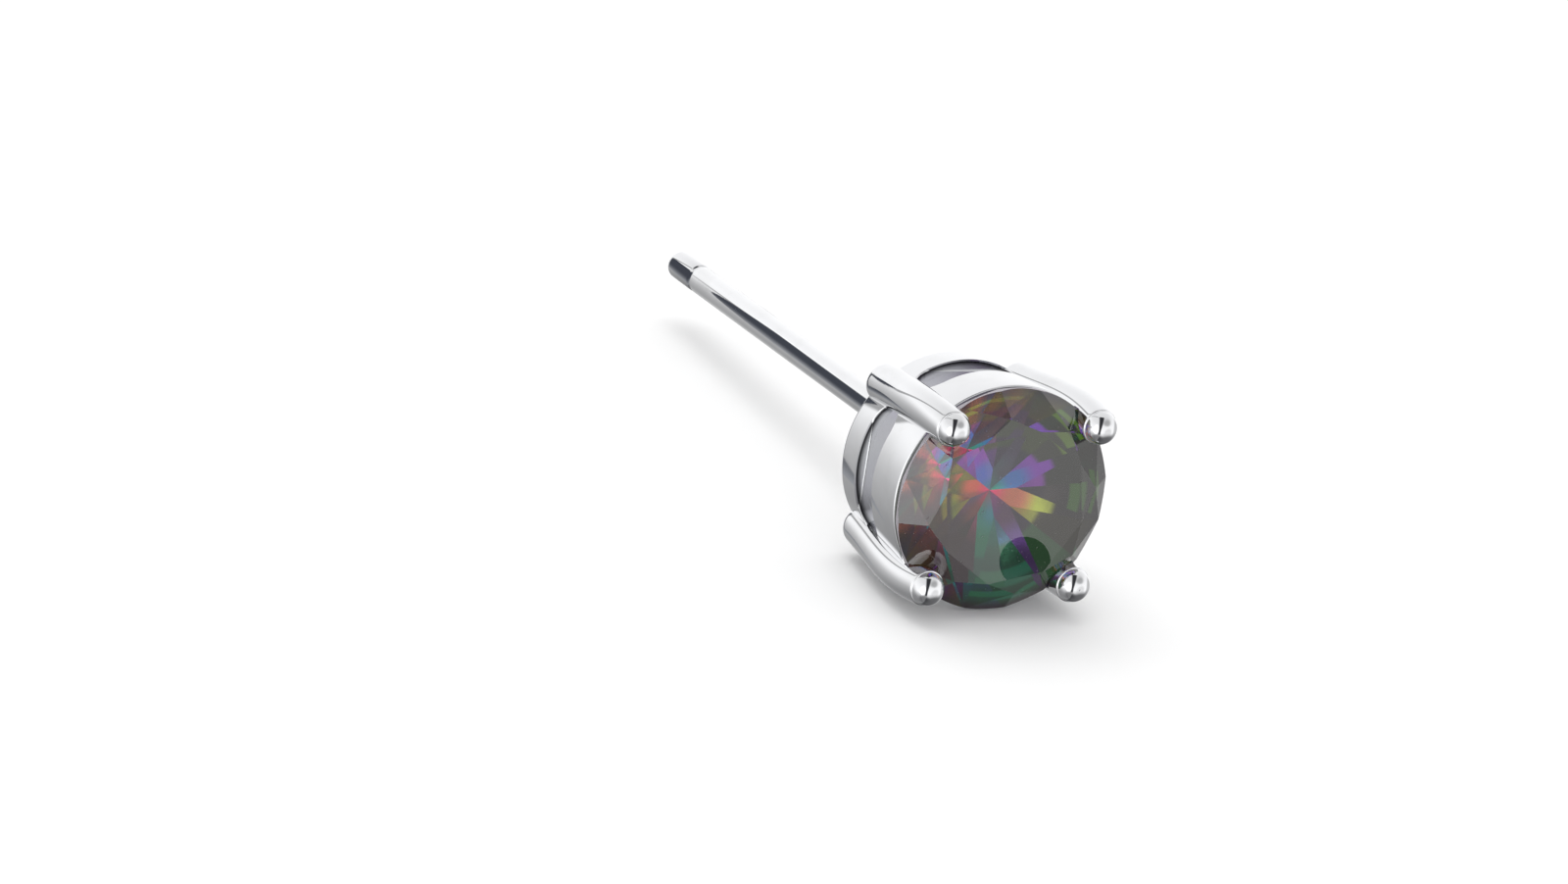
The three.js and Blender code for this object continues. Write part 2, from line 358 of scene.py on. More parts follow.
tip_turns = [math.pi / 2 * i / TIP_STEPS for i in range(1, TIP_STEPS + 1)]
post_profile = (
    [(0, tip)]
    + [(radius * math.sin(turn), tip + POST_ROUND * (1 - math.cos(turn))) for turn in tip_turns]
    + [(radius, groove_start)]
    + [(radius - groove_depth(i), groove_start + slope * i / GROOVE_STEPS)
       for i in range(1, GROOVE_STEPS + 1)]
    + [(radius - groove_depth(GROOVE_STEPS - i), groove_end + slope * i / GROOVE_STEPS)
       for i in range(GROOVE_STEPS + 1)]
    + arc((radius + SOLDER, BACK - SOLDER), SOLDER, 180, 90, SOLDER_STEPS)
    + [(radius + SOLDER, BACK + POST_ROOT), (0, BACK + POST_ROOT)]
)
cut_or_join(cup, turned("post", post_profile, POST_SIDES), "UNION")
print("cup, claws and post:", len(cup.data.polygons), "faces")

# %% [markdown]
# ## The seat
#
# A setter cuts a notch in each claw, so that the stone's edge sits in it. Here the stone's own
# shape, grown by a hair, is cut out of the metal. That leaves the claw tips lying on the crown.

# %% Cut the stone's seat
TABLE = 3.5
CROWN, GIRDLE, PAVILION = 0.53, 0.14, 2.15  # the heights of the stone's three parts
GAP = 0.03
SEAT_SIDES = 512

grown = STONE_RADIUS + GAP
seat_profile = [
    (0, -GIRDLE / 2 - GAP - grown * PAVILION / STONE_RADIUS),
    (grown, -GIRDLE / 2 - GAP),
    (grown, GIRDLE / 2 + GAP),
    (TABLE / 2 + GAP, GIRDLE / 2 + CROWN + GAP),
    (0, GIRDLE / 2 + CROWN + GAP),
]
cut_or_join(cup, turned("seat", seat_profile, SEAT_SIDES), "DIFFERENCE")
print("setting with its seat:", len(cup.data.polygons), "faces")

# %% [markdown]
# A boolean can leave loose shards that a small picture hides, so the connected pieces are counted:
# a soldered setting is one. Then the shading is settled. Curved faces share their normals, weighted
# by area. Edges over 32 degrees stay sharp, and so do the rims of the flat back and of the cup's
# floor, so that a flat stays flat.

# %% Count the setting's pieces and settle its shading
SHARP_EDGE = math.radians(32)
LEVEL = 0.999999  # a face counts as flat when its direction's rise is above this

setting = cup
setting.name = "polished_setting"
tidy = bmesh.new()
tidy.from_mesh(setting.data)
apart, pieces = set(tidy.verts), 0
while apart:
    pieces += 1
    reached = [apart.pop()]
    while reached:
        corner = reached.pop()
        near = {edge.other_vert(corner) for edge in corner.link_edges} & apart
        apart -= near
        reached += near
tidy.normal_update()
for face in tidy.faces:
    face.smooth = True
for edge in tidy.edges:
    level = {abs(face.normal.z) > LEVEL for face in edge.link_faces}
    edge.smooth = edge.calc_face_angle(0) < SHARP_EDGE and len(level) == 1
tidy.to_mesh(setting.data)
tidy.free()
setting.data.transform(LAY_DOWN)
even = setting.modifiers.new("even", "WEIGHTED_NORMAL")
even.keep_sharp = True
apply_modifiers(setting)
setting.data.name = "polished_setting"
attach(setting, "root")
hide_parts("setting")
print("setting:", len(setting.data.polygons), "faces in", pieces, "connected piece, repaired:",
      setting.data.validate())

# %% [markdown]
# ## The stone
#
# A round brilliant is all plane facets: a table, eight stars, eight kites, sixteen upper girdle
# facets, a thin girdle, sixteen lower girdle facets and eight mains that meet in a point. Each
# facet is one flat polygon whose corners lie on the same plane, so it glints as a whole when it is
# turned.

# %% Work out the facets
MAINS = 8
STAR_REACH = 0.45  # of the way from the table's edge to the girdle
LOWER_REACH = 0.78  # of the way from the girdle to the point
STONE_TURN = math.radians(-11.25)  # how the stone is turned in its seat
GIRDLE_SIDES = 256

main_angle = math.tau / MAINS
table_height = GIRDLE / 2 + CROWN
culet_height = -GIRDLE / 2 - PAVILION


def polar(reach, angle, height):
    return Vector((reach * math.cos(angle), reach * math.sin(angle), height))


def girdle_height(angle, height, tip_point):
    """Where the plane of a girdle facet cuts the round girdle at this angle."""
    from_main = abs(angle - main_angle * round(angle / main_angle))
    a, b = polar(STONE_RADIUS, 0, height), polar(STONE_RADIUS, main_angle / 2, height)
    normal = (b - a).cross(tip_point - a)
    spot = polar(STONE_RADIUS, from_main, 0)
    return a.z - (normal.x * (spot.x - a.x) + normal.y * (spot.y - a.y)) / normal.z


table_edge = TABLE / 2 * math.cos(main_angle / 2)
star_reach = table_edge + STAR_REACH * (STONE_RADIUS - table_edge)
star_height = table_height - ((star_reach * math.cos(main_angle / 2) - TABLE / 2)
                              * CROWN / (STONE_RADIUS - TABLE / 2))
lower_reach = (1 - LOWER_REACH) * STONE_RADIUS
lower_height = culet_height + lower_reach * math.cos(main_angle / 2) * PAVILION / STONE_RADIUS


def edge_points(side, tip_point, first, last):
    """Girdle corners from one step to another, on the crown's side or the pavilion's."""
    step = math.tau / GIRDLE_SIDES
    return [polar(STONE_RADIUS, i * step, girdle_height(i * step, side * GIRDLE / 2, tip_point))
            for i in range(first, last + 1)]


facets = []  # (kind, number, corners)
per_main = GIRDLE_SIDES // MAINS
table_corners = [polar(TABLE / 2, k * main_angle, table_height) for k in range(MAINS)]
stars = [polar(star_reach, (k + 0.5) * main_angle, star_height) for k in range(MAINS)]
lowers = [polar(lower_reach, (k + 0.5) * main_angle, lower_height) for k in range(MAINS)]
culet = Vector((0, 0, culet_height))
facets.append(("table", 0, table_corners))
for k in range(MAINS):
    corner = polar(STONE_RADIUS, k * main_angle, GIRDLE / 2)
    foot = polar(STONE_RADIUS, k * main_angle, -GIRDLE / 2)
    facets.append(("star", k, [table_corners[k], stars[k], table_corners[(k + 1) % MAINS]]))
    facets.append(("kite", k, [table_corners[k], stars[k - 1], corner, stars[k]]))
    facets.append(("main", k, [culet, lowers[k], foot, lowers[k - 1]]))
    for half in range(2):
        first = k * per_main + half * per_main // 2
        last = first + per_main // 2
        upper_edge = edge_points(1, stars[0], first, last)
        lower_edge = edge_points(-1, lowers[0], first, last)
        facets.append(("upper", 2 * k + half, upper_edge + [stars[k]]))
        facets.append(("lower", 2 * k + half, lower_edge[::-1] + [lowers[k]]))
        for i in range(len(upper_edge) - 1):
            facets.append(("girdle", k, lower_edge[i:i + 2] + upper_edge[i:i + 2][::-1]))
print("stone:", len(facets), "facets with the girdle's")

# %% [markdown]
# The real stone's pavilion carries a vapour coating, a few hundred nanometres thick, whose
# thickness sets its colour. It shows as a star of violet, blue, teal, pink, orange and yellow
# wedges on a dark ground. Here each main has four colours from the culet outwards and each lower
# girdle facet has three; the last one is the dark ground beyond the star. A few lower girdle facets
# add a green arc near the rim.

# %% Choose the coating's colours
MAIN_COATS = [
    ((0.68, 0.05, 0.21), (0.82, 0.25, 0.14), (0.48, 0.54, 0.07), (0.05, 0.04, 0.04)),
    ((0.02, 0.48, 0.30), (0.08, 0.26, 0.76), (0.38, 0.08, 0.74), (0.05, 0.05, 0.04)),
    ((0.05, 0.20, 0.18), (0.09, 0.09, 0.12), (0.08, 0.05, 0.10), (0.07, 0.06, 0.04)),
    ((0.04, 0.34, 0.44), (0.12, 0.24, 0.80), (0.40, 0.09, 0.76), (0.07, 0.07, 0.04)),
    ((0.64, 0.06, 0.19), (0.46, 0.15, 0.09), (0.12, 0.13, 0.03), (0.05, 0.04, 0.04)),
    ((0.40, 0.05, 0.12), (0.14, 0.06, 0.06), (0.06, 0.03, 0.04), (0.05, 0.02, 0.03)),
    ((0.30, 0.14, 0.16), (0.03, 0.30, 0.22), (0.02, 0.22, 0.12), (0.03, 0.12, 0.08)),
    ((0.30, 0.05, 0.12), (0.12, 0.05, 0.12), (0.10, 0.05, 0.18), (0.10, 0.05, 0.17)),
]
LOWER_COATS = [
    ((0.04, 0.03, 0.04), (0.04, 0.03, 0.04), (0.05, 0.04, 0.04)),
    ((0.28, 0.07, 0.50), (0.40, 0.08, 0.62), (0.05, 0.05, 0.04)),
    ((0.26, 0.09, 0.62), (0.38, 0.08, 0.70), (0.06, 0.06, 0.04)),
    ((0.04, 0.03, 0.05), (0.04, 0.03, 0.05), (0.08, 0.08, 0.03)),
    ((0.05, 0.03, 0.06), (0.05, 0.03, 0.06), (0.06, 0.08, 0.03)),
    ((0.08, 0.05, 0.22), (0.14, 0.05, 0.26), (0.09, 0.09, 0.03)),
    ((0.26, 0.06, 0.44), (0.36, 0.07, 0.60), (0.05, 0.06, 0.03)),
    ((0.13, 0.19, 0.03), (0.16, 0.24, 0.03), (0.05, 0.04, 0.04)),
    ((0.16, 0.05, 0.04), (0.22, 0.28, 0.03), (0.05, 0.03, 0.03)),
    ((0.22, 0.27, 0.03), (0.18, 0.24, 0.03), (0.05, 0.03, 0.03)),
    ((0.06, 0.03, 0.03), (0.04, 0.03, 0.02), (0.05, 0.02, 0.02)),
    ((0.24, 0.05, 0.07), (0.10, 0.03, 0.04), (0.05, 0.02, 0.03)),
    ((0.03, 0.22, 0.17), (0.03, 0.16, 0.12), (0.03, 0.11, 0.07)),
    ((0.04, 0.12, 0.20), (0.06, 0.16, 0.26), (0.03, 0.11, 0.06)),
    ((0.05, 0.03, 0.05), (0.05, 0.03, 0.06), (0.05, 0.14, 0.05)),
    ((0.46, 0.28, 0.06), (0.34, 0.36, 0.05), (0.06, 0.05, 0.03)),
]
RIM_COATS = {  # a green arc on these lower girdle facets
    0: (0.09, 0.22, 0.04), 2: (0.20, 0.32, 0.04), 4: (0.12, 0.20, 0.03), 5: (0.20, 0.40, 0.04),
    12: (0.03, 0.22, 0.10), 13: (0.04, 0.24, 0.14),
}
DARK_COAT = (0.035, 0.022, 0.03)
COAT_REACH = {"main": 0.55, "lower": 0.45}  # the bright colours end here, as shares of the radius
print("coating:", len(MAIN_COATS) + len(LOWER_COATS), "coated facets")

# %% [markdown]
# The corners that facets share are found by their places, so the stone is one closed skin. The
# coating's colours are stored on the faces, with the reach where the star ends, so they belong to
# the stone and turn with it.

# %% Build the stone
CROWN_KINDS = ("table", "star", "kite", "upper")
COAT_STAGES = ("coat_at_culet", "coat_midway", "coat_at_tip", "coat_beyond", "coat_at_rim")


def coat_colours(kind, number):
    """The colours of a facet's coating, one for each stage."""
    if kind == "main":
        return [*MAIN_COATS[number], MAIN_COATS[number][-1]]
    if kind == "lower":
        first, at_tip, beyond = LOWER_COATS[number]
        return [first, first, at_tip, beyond, RIM_COATS.get(number, beyond)]
    return [DARK_COAT] * len(COAT_STAGES)


verts, faces, known = [], [], {}
for kind, number, corners in facets:
    loop = []
    for corner in corners:
        key = tuple(round(v, 6) for v in corner)
        if key not in known:
            known[key] = len(verts)
            verts.append(corner)
        loop.append(known[key])
    faces.append(loop)
stone = skinned("coated_stone", verts, faces)
stone.data.transform(LAY_DOWN @ Matrix.Rotation(STONE_TURN, 4, "Z"))
for polygon, (kind, number, corners) in zip(stone.data.polygons, facets):
    polygon.material_index = 0 if kind in CROWN_KINDS else 1 if kind == "girdle" else 2
for stage, name in enumerate(COAT_STAGES):
    coat = stone.data.attributes.new(name, "FLOAT_COLOR", "FACE")
    for face, (kind, number, corners) in enumerate(facets):
        coat.data[face].color = (*coat_colours(kind, number)[stage], 1)
reach_of_coat = stone.data.attributes.new("coat_reach", "FLOAT", "FACE")
for face, (kind, number, corners) in enumerate(facets):
    reach_of_coat.data[face].value = COAT_REACH.get(kind, 0)
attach(stone, "root")
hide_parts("stone")
print("stone:", len(verts), "corners,", len(faces), "faces")

# %% [markdown]
# ## Helpers for the finishes
#
# Every finish below is a small network of nodes. A few helpers keep the cells short: they link an
# output or set a number, and add a maths or vector node, a smooth step, a mix of two colours,
# noise, a bump, a group or a material. Each takes numbers or other nodes' outputs, so a network
# reads like a formula.

# %% Helpers that add nodes
def put(tree, socket, value):
    """Links an output into a socket, or sets a plain value on it."""
    if isinstance(value, bpy.types.NodeSocket):
        tree.links.new(value, socket)
    else:
        socket.default_value = value


def maths(tree, operation, *values):
    made = tree.nodes.new("ShaderNodeMath")
    made.operation = operation
    for socket, value in zip(made.inputs, values):
        put(tree, socket, value)
    return made.outputs[0]


def times(tree, product, *others):
    """The product of two or more numbers."""
    for value in others:
        product = maths(tree, "MULTIPLY", product, value)
    return product


def vectors(tree, operation, *values):
    """A vector maths node's result: a number for a length or a dot product, else a vector."""
    made = tree.nodes.new("ShaderNodeVectorMath")
    made.operation = operation
    for socket, value in zip(made.inputs, values):
        put(tree, socket, value)
    return made.outputs["Value" if operation in ("LENGTH", "DOT_PRODUCT") else "Vector"]


def rising(tree, value, low, high):
    """0 at low, 1 at high, smooth between them; low may be the larger."""
    made = tree.nodes.new("ShaderNodeMapRange")
    made.interpolation_type = "SMOOTHSTEP"
    made.inputs["From Min"].default_value = low
    made.inputs["From Max"].default_value = high
    put(tree, made.inputs["Value"], value)
    return made.outputs["Result"]


def mixed(tree, share, colour_a, colour_b):
    made = tree.nodes.new("ShaderNodeMix")
    made.data_type = "RGBA"
    put(tree, made.inputs["Factor"], share)
    put(tree, made.inputs["A"], colour_a)
    put(tree, made.inputs["B"], colour_b)
    return made.outputs["Result"]


def object_place(tree):
    return tree.nodes.new("ShaderNodeTexCoord").outputs["Object"]


def clouds(tree, scale, detail=2):
    """Noise in the object's own space; the scale counts the clouds in a metre."""
    made = tree.nodes.new("ShaderNodeTexNoise")
    made.inputs["Scale"].default_value = scale
    made.inputs["Detail"].default_value = detail
    put(tree, made.inputs["Vector"], object_place(tree))
    return made.outputs["Fac"]


def bumped(tree, height, strength, distance):
    """The normal of a surface with this relief; the distance is in metres."""
    made = tree.nodes.new("ShaderNodeBump")
    made.inputs["Strength"].default_value = strength
    made.inputs["Distance"].default_value = distance
    put(tree, made.inputs["Height"], height)
    return made.outputs["Normal"]


def stored(tree, name):
    """What an attribute of the faces holds, as a colour and as a number."""
    made = tree.nodes.new("ShaderNodeAttribute")
    made.attribute_name = name
    return made.outputs


def new_group(name, inputs, outputs):
    """An empty node group with number inputs (title: value) and number outputs."""
    tree = bpy.data.node_groups.new(name, "ShaderNodeTree")
    number = "NodeSocketFloat"
    for title, value in inputs.items():
        made = tree.interface.new_socket(title, in_out="INPUT", socket_type=number)
        made.default_value = value
    for title in outputs:
        tree.interface.new_socket(title, in_out="OUTPUT", socket_type=number)
    return (tree, tree.nodes.new("NodeGroupInput").outputs,
            tree.nodes.new("NodeGroupOutput").inputs)


def use_group(tree, group, **values):
    made = tree.nodes.new("ShaderNodeGroup")
    made.node_tree = group
    for title, value in values.items():
        put(tree, made.inputs[title], value)
    return made.outputs


def new_material(name):
    material = bpy.data.materials.new(name)
    material.use_nodes = True
    return material, material.node_tree, material.node_tree.nodes["Principled BSDF"].inputs


# %% [markdown]
# ## Where a point lies on the head
#
# Several finishes change with depth: the coating from the culet outwards, the metal from its
# polished skin into the slots. This group turns a point's place into two lengths in millimetres,
# its reach from the head's axis and its height above the girdle. It is built once and shared.

# %% Build the head place group
head_place, _, out = new_group("head place", {}, ("Reach", "Height"))
away = vectors(head_place, "SUBTRACT", object_place(head_place), head_centre)
across = vectors(head_place, "LENGTH", vectors(head_place, "CROSS_PRODUCT", away, head_up))
upward = vectors(head_place, "DOT_PRODUCT", away, head_up)
put(head_place, out["Reach"], maths(head_place, "DIVIDE", across, MM))
put(head_place, out["Height"], maths(head_place, "DIVIDE", upward, MM))
print("head place group:", len(head_place.nodes), "nodes")

# %% [markdown]
# ## Fine scratches
#
# Polished metal and a worn stone both carry hairlines: each is far longer than it is wide, and they
# run in a few directions. Noise stretched along one direction and cut off just under its peaks
# leaves such lines. Two sets cross each other here. The group gives a height for the bump and a
# mask.

# %% Build the hairlines group
HAIR_SETS = (((0.3, 0.9, 0.35), 1.7), ((-0.5, 0.2, 1.15), 5.3))  # each one's turn and seed
HAIR_LENGTH = 30  # times its width

hairlines, given, out = new_group("hairlines", {"Width": 0.02, "Amount": 0.5}, ("Height", "Mask"))
spot = object_place(hairlines)
sets = []
for turn, seed in HAIR_SETS:
    turned_spot = hairlines.nodes.new("ShaderNodeMapping")
    turned_spot.inputs["Rotation"].default_value = turn
    put(hairlines, turned_spot.inputs["Vector"], spot)
    stretched = vectors(hairlines, "MULTIPLY", turned_spot.outputs["Vector"],
                        (1 / HAIR_LENGTH, 1, 1))
    noise = hairlines.nodes.new("ShaderNodeTexNoise")
    noise.noise_dimensions = "4D"
    noise.inputs["W"].default_value = seed
    noise.inputs["Detail"].default_value = 1.0
    put(hairlines, noise.inputs["Vector"], stretched)
    put(hairlines, noise.inputs["Scale"], maths(hairlines, "DIVIDE", 1 / MM, given["Width"]))
    limit = maths(hairlines, "MULTIPLY_ADD", given["Amount"], -0.2, 0.85)
    over = maths(hairlines, "SUBTRACT", noise.outputs["Fac"], limit)
    sets.append(rising(hairlines, over, 0.0, 0.06))
lines = maths(hairlines, "MAXIMUM", *sets)
put(hairlines, out["Mask"], lines)
put(hairlines, out["Height"], maths(hairlines, "SUBTRACT", 1.0, lines))
print("hairlines group:", len(hairlines.nodes), "nodes")

# %% [markdown]
# ## Rubbed edges
#
# Handling rubs an edge first. Blender's bevel node gives the direction a surface would face if its
# edges were rounded. Where that differs from the true direction an edge is near, so the difference
# is a mask of the edges, whatever made them.

# %% Build the rubbed edges group
rubbed, given, out = new_group("rubbed edges", {"Reach": 0.03}, ("Mask",))
bevel = rubbed.nodes.new("ShaderNodeBevel")
bevel.samples = 4
put(rubbed, bevel.inputs["Radius"], maths(rubbed, "MULTIPLY", given["Reach"], MM))
true_normal = rubbed.nodes.new("ShaderNodeNewGeometry").outputs["Normal"]
agreement = vectors(rubbed, "DOT_PRODUCT", bevel.outputs["Normal"], true_normal)
put(rubbed, out["Mask"], rising(rubbed, agreement, 0.995, 0.85))
print("rubbed edges group:", len(rubbed.nodes), "nodes")

# %% [markdown]
# ## The polished silver
#
# Plated silver is nearly white and mirrors its surroundings, so its look is mostly its roughness.
# The outer skin is polished, with hairlines and slow changes from fingers and cloth. The wheel
# doesn't reach into the slots or the cup, so there the metal stays satin, and just inside the slots'
# lips on the ear's side its colour is painted near-black as shade. How deep a point lies below the
# cup's skin, and how high on the head, decides where. Edges are rubbed a bit lighter.

# %% Make the polished silver
POLISHED, HANDLED = (0.93, 0.935, 0.95, 1), (0.89, 0.895, 0.905, 1)
RUBBED = (0.97, 0.97, 0.975, 1)
# The second colour is painted shade, the near-black just inside the slots' lips on the ear's side.
SATIN, SLOT_SHADE = (0.86, 0.87, 0.89, 1), (0.03, 0.03, 0.035, 1)
POLISH_ROUGH = 0.035
SCRATCH_DEPTH = 0.000004  # metres

silver, tree, socket = new_material("polished_silver")
place = use_group(tree, head_place)
taper = (RIM_RADIUS - BACK_RADIUS) / (RIM - BACK)
skin = maths(tree, "MULTIPLY_ADD", place["Height"], taper, BACK_RADIUS - BACK * taper)
depth = maths(tree, "SUBTRACT", skin, place["Reach"])
below_skin = rising(tree, depth, 0.025, 0.05)
under_rim = rising(tree, place["Height"], RIM + 0.01, RIM - 0.03)
above_back = rising(tree, place["Height"], BACK + 0.05, BACK + 0.15)
inside = times(tree, below_skin, under_rim, above_back)

scratches = use_group(tree, hairlines, Width=0.018, Amount=0.45)
edges = use_group(tree, rubbed, Reach=0.03)["Mask"]
smudge = rising(tree, clouds(tree, scale=1100, detail=3), 0.45, 0.7)

worn_colour = mixed(tree, edges, mixed(tree, smudge, POLISHED, HANDLED), RUBBED)
# Painted shade: dark at the slots' lips on the ear's side, fading to satin deeper in.
lip_shade = rising(tree, depth, 0.20, 0.05)
ear_side = rising(tree, place["Height"], -1.7, -2.1)
satin_and_slot_shade = mixed(tree, times(tree, lip_shade, ear_side), SATIN, SLOT_SHADE)
put(tree, socket["Base Color"], mixed(tree, inside, worn_colour, satin_and_slot_shade))
socket["Metallic"].default_value = 1
rough = POLISH_ROUGH
for mask, more in ((smudge, 0.035), (scratches["Mask"], 0.08), (edges, 0.06), (inside, 0.2)):
    rough = maths(tree, "MULTIPLY_ADD", mask, more, rough)
put(tree, socket["Roughness"], rough)
put(tree, socket["Normal"], bumped(tree, scratches["Height"], 0.08, SCRATCH_DEPTH))
setting.data.materials.clear()
setting.data.materials.append(silver)
print("polished_silver:", len(tree.nodes), "nodes")

# %% [markdown]
# ## The stone's three finishes
#
# The crown is clear and highly polished, so it is glass with a high refractive index. Its facets
# keep a few hairlines. The girdle is left as ground, so it is frosted.

# %% Make the crown and the girdle
STONE_INDEX = 2.1
GROUND_DARK, GROUND_PALE = (0.30, 0.28, 0.31, 1), (0.42, 0.40, 0.43, 1)
GRAIN_DEPTH = 0.000005  # metres

crown, tree, socket = new_material("clear_crown")
socket["Base Color"].default_value = (1, 1, 1, 1)
socket["Transmission Weight"].default_value = 1
socket["IOR"].default_value = STONE_INDEX
wear = use_group(tree, hairlines, Width=0.026, Amount=0.6)
put(tree, socket["Roughness"], maths(tree, "MULTIPLY", wear["Mask"], 0.3))
put(tree, socket["Normal"], bumped(tree, wear["Height"], 0.3, SCRATCH_DEPTH))
print("clear_crown:", len(tree.nodes), "nodes")

girdle, tree, socket = new_material("frosted_girdle")
grain = clouds(tree, scale=30000)
put(tree, socket["Base Color"], mixed(tree, grain, GROUND_DARK, GROUND_PALE))
put(tree, socket["Roughness"], maths(tree, "MULTIPLY_ADD", grain, 0.2, 0.4))
put(tree, socket["Normal"], bumped(tree, grain, 0.3, GRAIN_DEPTH))
print("frosted_girdle:", len(tree.nodes), "nodes")

# %% [markdown]
# The pavilion is where the coating lies: seen from inside it is a coloured mirror, and seen from
# outside it is plain grey. Part of its colour is also given as its own light, a painted glow that
# makes the star brighter than its lighting alone would. Outside it glows with a soft, hardly tinted
# painted light near the culet, which stands in for light that enters the stone, comes out through
# the coating and lights the cup and the slots from within.

# %% Make the rainbow coating
OUTSIDE = (0.30, 0.30, 0.32, 1)
# Painted light: the tones that the pavilion's outside glows in, near the culet and at the rim.
GLOW_AT_CULET, GLOW_AT_RIM = (0.88, 0.88, 0.92, 1), (0.1, 0.1, 0.1, 1)
BLACK = (0, 0, 0, 1)

coating, tree, socket = new_material("rainbow_coating")
place = use_group(tree, head_place)
outward = maths(tree, "DIVIDE", place["Reach"], STONE_RADIUS)
at_culet, midway, at_tip, past_tip, at_rim = (stored(tree, name)["Color"] for name in COAT_STAGES)
inner = mixed(tree, rising(tree, outward, 0.02, 0.20), at_culet, midway)
outer = mixed(tree, rising(tree, outward, 0.26, 0.42), inner, at_tip)
past_star = maths(tree, "SUBTRACT", outward, stored(tree, "coat_reach")["Fac"])
beyond = rising(tree, past_star, -0.03, 0.03)
arc_band = times(tree, rising(tree, outward, 0.645, 0.67), rising(tree, outward, 0.77, 0.73))
ground = mixed(tree, rising(tree, outward, 0.75, 0.95), past_tip, (*DARK_COAT, 1))
ground = mixed(tree, arc_band, ground, at_rim)
rainbow = mixed(tree, beyond, outer, ground)
seen_inside = tree.nodes.new("ShaderNodeNewGeometry").outputs["Backfacing"]
put(tree, socket["Base Color"], mixed(tree, seen_inside, OUTSIDE, rainbow))
socket["Metallic"].default_value = 0.9
put(tree, socket["Roughness"], maths(tree, "MULTIPLY_ADD", seen_inside, -0.25, 0.45))
# Painted light: outside, the coating glows, palest near the culet.
outside_glow_tone = mixed(tree, rising(tree, outward, 0.55, 0.85), GLOW_AT_CULET, GLOW_AT_RIM)
painted_outside_glow = mixed(tree, 0.12, outside_glow_tone, outer)
# Painted light: inside, the coating glows with part of its own colours.
painted_inside_glow = mixed(tree, 0.4, rainbow, BLACK)
put(tree, socket["Emission Color"], mixed(tree, seen_inside, painted_outside_glow, painted_inside_glow))
socket["Emission Strength"].default_value = 0.5
for finish in (crown, girdle, coating):
    stone.data.materials.append(finish)
print("rainbow_coating:", len(tree.nodes), "nodes")

# %% [markdown]
# ## The table that it lies on
#
# The stud lies on white paper that curves up behind, as in a product studio, so there is no
# horizon. It is kept out of mirror reflections, because the surround below already says what the
# metal sees from under the table's level.

# %% Make the paper
PAPER_FLAT = 0.5  # metres from the stud to where the paper starts to curve up
PAPER_BEND = 0.2
PAPER_TOP = 0.45
PAPER_SINK = 0.00002  # keeps it just clear of the stud
PAPER_SIDES, BEND_STEPS = 96, 12
PAPER_DARK, PAPER_PALE = (0.90, 0.90, 0.90, 1), (0.915, 0.915, 0.915, 1)

floor_profile = ([(0, 0), (PAPER_FLAT, 0)]
                 + arc((PAPER_FLAT, PAPER_BEND), PAPER_BEND, -90, 0, BEND_STEPS)
                 + [(PAPER_FLAT + PAPER_BEND, PAPER_TOP)])
floor = turned("paper", floor_profile, PAPER_SIDES)
floor.location.z = -PAPER_SINK
paper, tree, socket = new_material("white_paper")
fibres = tree.nodes.new("ShaderNodeTexNoise")
fibres.inputs["Scale"].default_value = 400
put(tree, socket["Base Color"], mixed(tree, fibres.outputs["Fac"], PAPER_DARK, PAPER_PALE))
socket["Roughness"].default_value = 0.9
socket["Specular IOR Level"].default_value = 0.1
floor.data.materials.append(paper)
floor.visible_glossy = False
floor.visible_transmission = False
print("paper:", len(floor.data.polygons), "faces")

# %% [markdown]
# ## The studio round the stud
#
# Polished metal is drawn by what it mirrors: large white panels with dark between them, the way
# jewellery is lit. The panels are painted on the world by direction. Mirror and glass rays see the
# panels; the camera and diffuse rays see plain white, so the table stays even. Azimuth 0 is the
# side of the stone's table, 90 the right side.

# %% Helpers for the surround
world = bpy.data.worlds.new("studio")
world.use_nodes = True
bpy.context.scene.world = world
sky = world.node_tree
parts = sky.nodes.new("ShaderNodeSeparateXYZ")
toward = sky.nodes.new("ShaderNodeTexCoord").outputs["Generated"]
put(sky, parts.inputs[0], toward)
east, north, rise = parts.outputs


def sine(degrees):
    return math.sin(math.radians(degrees))


def along(azimuth):
    """How far a direction points to this azimuth, 0 towards -Y and 90 towards +X."""
    return maths(sky, "ADD", maths(sky, "MULTIPLY", east, sine(azimuth)),
                 maths(sky, "MULTIPLY", north, -sine(azimuth + 90)))


def ahead(azimuth):
    """1 on the half of the surround that lies to this azimuth, 0 on the other half."""
    return rising(sky, along(azimuth), -0.06, 0.0)


def gap(azimuth, width, low, low_soft, depth, spread, edge):
    """A dark gap between two panels, from low up to the zenith, wider the higher it gets."""
    half = sine(width / 2)
    wider = maths(sky, "MULTIPLY_ADD", maths(sky, "MAXIMUM", rise, 0), spread, 1)
    side = maths(sky, "DIVIDE", maths(sky, "ABSOLUTE", along(azimuth + 90)), wider)
    across = rising(sky, side, half * (1 + edge), half * (1 - edge))
    above = rising(sky, rise, sine(low - low_soft), sine(low + low_soft))
    return times(sky, across, ahead(azimuth), above, depth)


def seam(square, width, depth):
    """A thin dark line where two panels meet behind the stud, in a plane square to this."""
    off = maths(sky, "ABSOLUTE", vectors(sky, "DOT_PRODUCT", toward, square))
    half = sine(width / 2)
    thin = rising(sky, off, half * 1.3, half * 0.6)
    behind, above = rising(sky, north, 0.0, 0.3), rising(sky, rise, -0.02, 0.06)
    return times(sky, thin, behind, above, depth)


